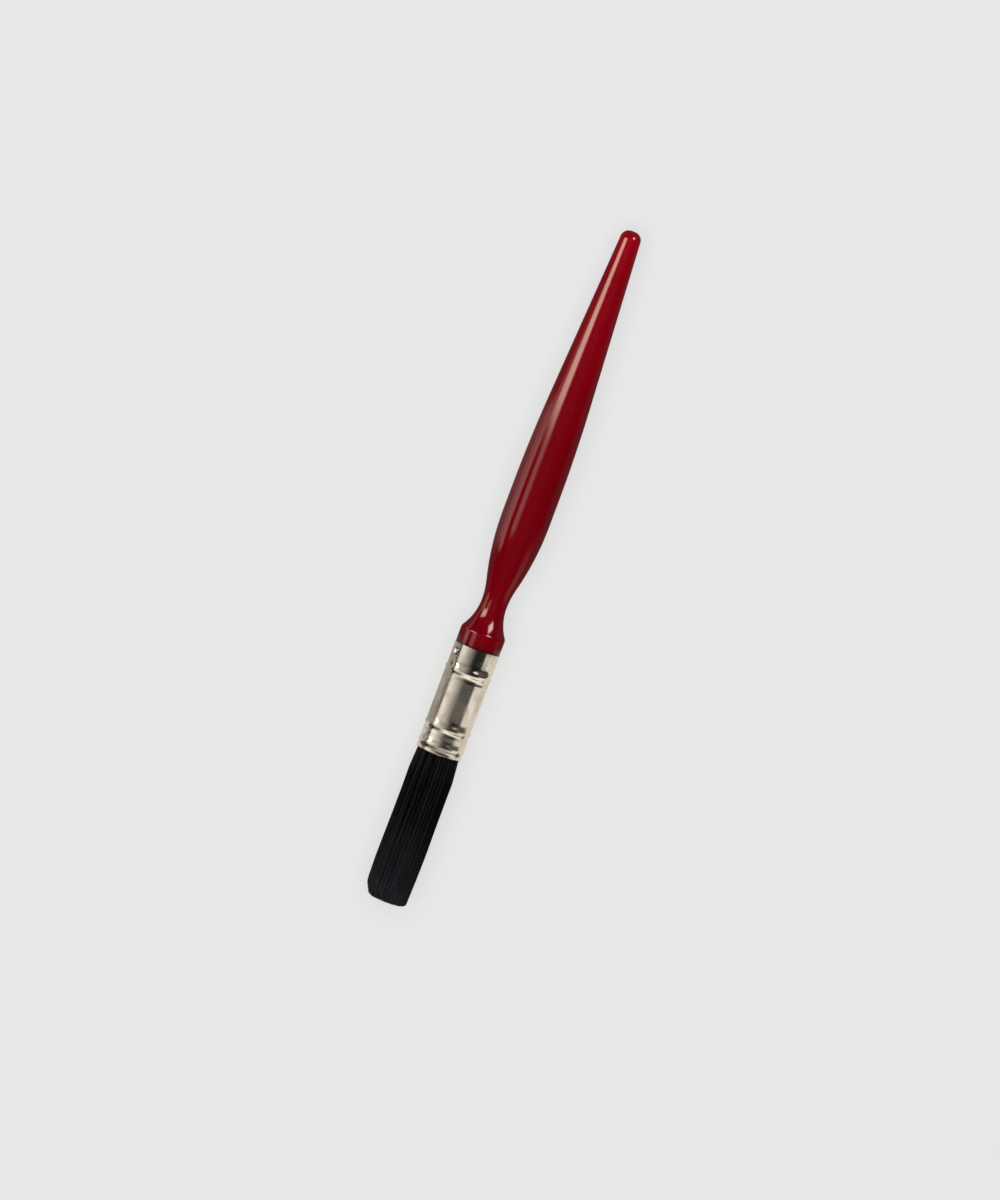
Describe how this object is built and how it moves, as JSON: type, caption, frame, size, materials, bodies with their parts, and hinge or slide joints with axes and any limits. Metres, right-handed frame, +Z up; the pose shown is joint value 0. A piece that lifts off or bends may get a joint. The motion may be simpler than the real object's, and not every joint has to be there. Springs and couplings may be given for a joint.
{
  "type": "round stencil brush",
  "caption": "Round stencil brush with a turned red handle, a beaded nickel ferrule and a dense, flat-cut tuft of stiff black bristles.",
  "frame": {"origin": "on the floor under the middle of the brush, which lies on its side", "axes": "+X along the brush towards the tip of the handle, +Z up from the floor, +Y across"},
  "size_m": [0.2028, 0.014, 0.014],
  "materials": {
    "red_lacquer": "clear gloss lacquer over crimson stain, on turned wood",
    "nickel_plate": "bright nickel plate on drawn and rolled sheet",
    "nail_steel": "bright domed nail head",
    "resin": "set amber resin",
    "black_bristle": "dyed black bristle, satin"
  },
  "bodies": {
    "root": {"handle": "red_lacquer", "ferrule": "nickel_plate", "ferrule_nails": "nail_steel", "resin_plug": "resin", "bristle_tuft": "black_bristle"}
  },
  "joints": []
}
